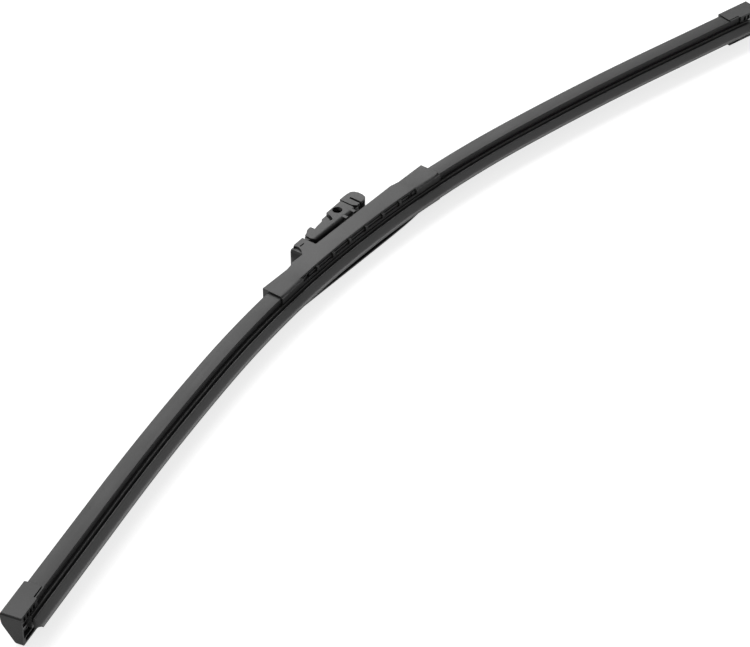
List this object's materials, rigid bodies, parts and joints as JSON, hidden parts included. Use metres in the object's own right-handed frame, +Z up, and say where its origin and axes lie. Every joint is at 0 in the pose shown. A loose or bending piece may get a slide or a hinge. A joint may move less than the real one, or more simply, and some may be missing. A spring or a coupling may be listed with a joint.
{
  "type": "wiper blade",
  "caption": "Bowed flat wiper blade with steel rails in a rubber strip, spoiler covers, end caps, a rigid centre cover and a pivoting hook adapter with a lock cap.",
  "frame": {"origin": "middle of the adapter's cross hole, on the blade's mid-plane", "axes": "+X along the blade from its near end to its far end, +Y away from the glass, +Z across the blade's width, out of its upright leeward side; the blade lies on its windward side, so +Z is up from the table"},
  "size_m": [0.5903, 0.0797, 0.0156],
  "materials": {
    "rubber": "matt",
    "rail_steel": "dark spring steel",
    "bracket_steel": "dark coated steel",
    "rivet_steel": "bright steel",
    "spoiler_plastic": "soft matt",
    "cap_plastic": "fine grained",
    "cover_plastic": "fine grained",
    "adapter_plastic": "satin"
  },
  "bodies": {
    "blade": {"wiper_rubber": "rubber", "leeward_rail": "rail_steel", "windward_rail": "rail_steel", "near_spoiler": "spoiler_plastic", "far_spoiler": "spoiler_plastic", "near_end_cap": "cap_plastic", "far_end_cap": "cap_plastic", "rail_bracket": "bracket_steel", "centre_cover": "cover_plastic", "pivot_rivet": "rivet_steel"},
    "adapter": {"adapter_body": "adapter_plastic"},
    "lock": {"lock_cap": "adapter_plastic"}
  },
  "joints": [
    {"name": "adapter_pivot", "type": "hinge", "parent": "blade", "child": "adapter", "pos_m": [-0.0092, -0.0038, 0], "axis": [0, 0, 1], "range_deg": [-8, 10]},
    {"name": "lock_hinge", "type": "hinge", "parent": "adapter", "child": "lock", "pos_m": [0.014, -0.0031, 0], "axis": [0, 0, 1], "range_deg": [-75, 0]}
  ]
}
